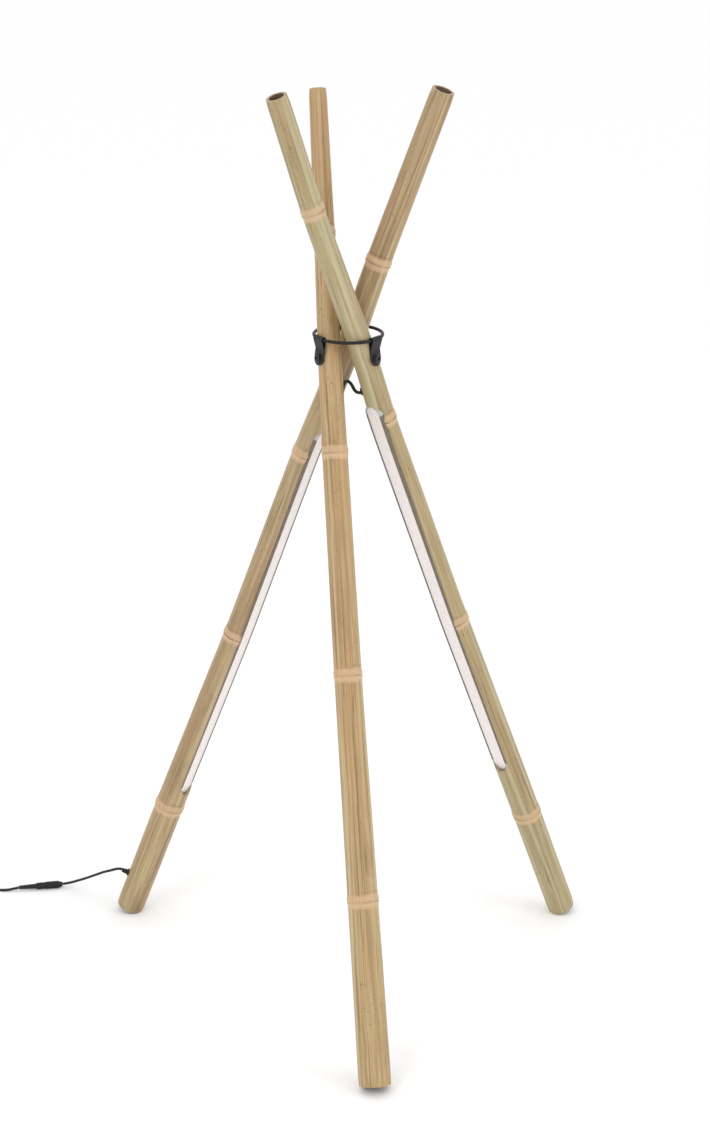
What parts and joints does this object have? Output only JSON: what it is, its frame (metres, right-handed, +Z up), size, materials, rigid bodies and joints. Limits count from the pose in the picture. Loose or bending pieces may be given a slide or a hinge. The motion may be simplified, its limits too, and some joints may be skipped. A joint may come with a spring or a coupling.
{
  "type": "tripod floor lamp",
  "caption": "Tripod floor lamp of leaning bamboo poles hung from a black ring collar, each pole with a recessed light bar; folds to a bundle.",
  "frame": {"origin": "on the floor, below the middle of the box around the lamp without its cord; the collar's axis is 16.7 mm towards -X and 86.1 mm towards +Y of it", "axes": "+Z up; -Y towards the side the front pole's foot points to; the power lead leaves towards -X"},
  "size_m": [1.0369, 0.7046, 1.2839],
  "materials": {
    "bamboo_front": "dried bamboo, golden tan, lightly glossy skin with brown streaks",
    "bamboo_right": "dried bamboo, olive tan, lightly glossy skin with brown streaks",
    "bamboo_left": "dried bamboo, brownish tan, lightly glossy skin with brown streaks",
    "hardwood": "plain hardwood",
    "black_steel": "satin black",
    "black_screw": "black oxide",
    "washer_steel": "dull steel",
    "channel_aluminium": "satin anodised",
    "end_cap_plastic": "matte grey",
    "opal_diffuser": "frosted opal white",
    "board_white": "white solder mask",
    "led_phosphor": "yellow phosphor",
    "bright_steel": "nickel plated",
    "wire_black": "soft black",
    "rubber_black": "matte black",
    "cable_black": "soft black jacket",
    "connector_black": "moulded black",
    "tie_black": "woven black tape",
    "adapter_black": "fine spark-eroded texture",
    "blade_brass": "plain brass"
  },
  "bodies": {
    "collar": {"collar_ring": "black_steel", "jumper_left_front": "cable_black", "jumper_front_right": "cable_black"},
    "strap_front": {"strap_front": "black_steel"},
    "pole_front": {"culm_front": "bamboo_front", "pivot_plug_front": "hardwood", "pivot_screw_front": "black_screw", "screw_washer_front": "washer_steel", "light_channel_front": "channel_aluminium", "end_caps_front": "end_cap_plastic", "opal_cover_front": "opal_diffuser", "led_board_front": "board_white", "led_chips_front": "led_phosphor", "channel_screws_front": "bright_steel", "inner_wires_front": "wire_black", "cable_grommets_front": "rubber_black"},
    "strap_right": {"strap_right": "black_steel"},
    "pole_right": {"culm_right": "bamboo_right", "pivot_plug_right": "hardwood", "pivot_screw_right": "black_screw", "screw_washer_right": "washer_steel", "light_channel_right": "channel_aluminium", "end_caps_right": "end_cap_plastic", "opal_cover_right": "opal_diffuser", "led_board_right": "board_white", "led_chips_right": "led_phosphor", "channel_screws_right": "bright_steel", "inner_wire_right": "wire_black", "cable_grommet_right": "rubber_black"},
    "strap_left": {"strap_left": "black_steel"},
    "pole_left": {"culm_left": "bamboo_left", "pivot_plug_left": "hardwood", "pivot_screw_left": "black_screw", "screw_washer_left": "washer_steel", "light_channel_left": "channel_aluminium", "end_caps_left": "end_cap_plastic", "opal_cover_left": "opal_diffuser", "led_board_left": "board_white", "led_chips_left": "led_phosphor", "channel_screws_left": "bright_steel", "inner_wires_left": "wire_black", "cable_grommet_left": "rubber_black", "strain_relief": "rubber_black", "lamp_lead": "cable_black", "dc_socket": "connector_black", "dc_socket_contact": "bright_steel", "dc_plug": "connector_black", "dc_barrel": "bright_steel", "adapter_lead": "cable_black", "cord_coil": "cable_black", "coil_tie": "tie_black", "power_adapter": "adapter_black", "plug_blades": "blade_brass"}
  },
  "joints": [
    {"name": "swing_front", "type": "hinge", "parent": "collar", "child": "strap_front", "pos_m": [-0.05724, 0.06544, 0.947], "axis": [0.454, -0.891, 0], "range_deg": [0, 7.5]},
    {"name": "fold_front", "type": "hinge", "parent": "strap_front", "child": "pole_front", "pos_m": [-0.06066, 0.0637, 0.92129], "axis": [0.8812, 0.449, -0.1478], "range_deg": [0, 19], "deforming": ["jumper_left_front"]},
    {"name": "swing_right", "type": "hinge", "parent": "collar", "child": "strap_right", "pos_m": [0.01603, 0.05449, 0.947], "axis": [0.6947, 0.7193, 0], "range_deg": [0, 7.5]},
    {"name": "fold_right", "type": "hinge", "parent": "strap_right", "child": "pole_right", "pos_m": [0.01879, 0.05182, 0.92129], "axis": [-0.7114, 0.687, -0.1478], "range_deg": [0, 19], "deforming": ["jumper_front_right"]},
    {"name": "swing_left", "type": "hinge", "parent": "collar", "child": "strap_left", "pos_m": [-0.01353, 0.13149, 0.947], "axis": [-0.9976, 0.0698, 0], "range_deg": [0, 7.5]},
    {"name": "fold_left", "type": "hinge", "parent": "strap_left", "child": "pole_left", "pos_m": [-0.01326, 0.13532, 0.92129], "axis": [-0.069, -0.9866, -0.1478], "range_deg": [0, 19]}
  ],
  "couplings": [
    {"joint": "fold_right", "follows": "fold_front", "ratio": 1},
    {"joint": "fold_left", "follows": "fold_front", "ratio": 1},
    {"joint": "swing_front", "follows": "fold_front", "ratio": 0.3947},
    {"joint": "swing_right", "follows": "fold_front", "ratio": 0.3947},
    {"joint": "swing_left", "follows": "fold_front", "ratio": 0.3947}
  ]
}
